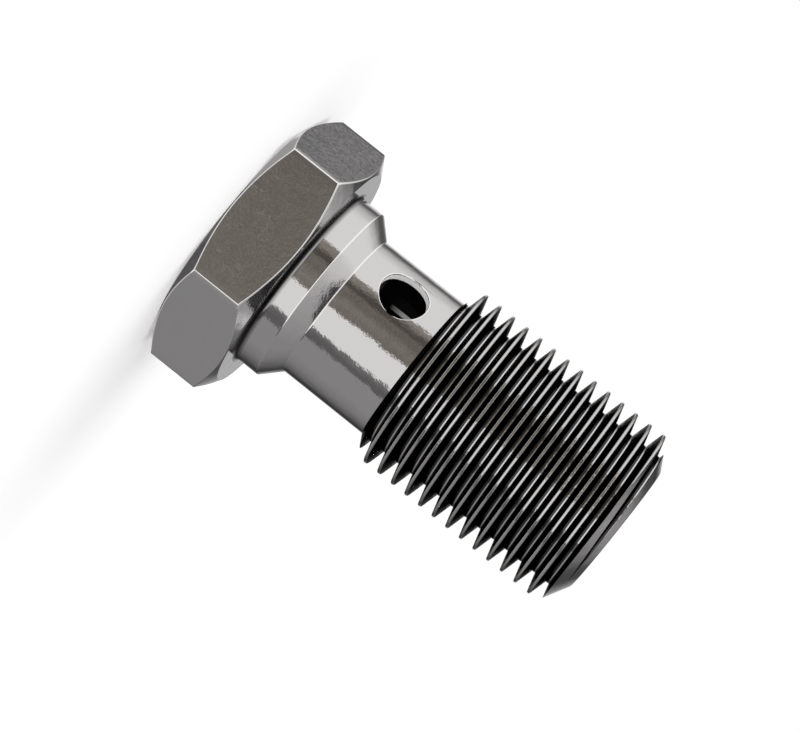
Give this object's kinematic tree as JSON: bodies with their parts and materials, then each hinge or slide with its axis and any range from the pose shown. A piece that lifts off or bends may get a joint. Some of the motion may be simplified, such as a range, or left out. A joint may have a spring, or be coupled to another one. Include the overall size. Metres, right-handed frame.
{
  "type": "banjo bolt",
  "caption": "Hollow hexagon bolt with a centring collar, a relieved neck with a cross hole, and a fine right-hand thread; it clamps a ring fitting and passes fluid through it.",
  "frame": {"origin": "centre of the head's flat top, which the bolt stands on", "axes": "+Z along the bolt's axis from the head to the thread's free end; +X along the cross hole, in line with a corner of the hexagon"},
  "size_m": [0.0266, 0.023, 0.042],
  "materials": {
    "steel": "bright plated steel, finely ground on the flats"
  },
  "bodies": {
    "root": {"banjo_bolt": "steel"}
  },
  "joints": []
}
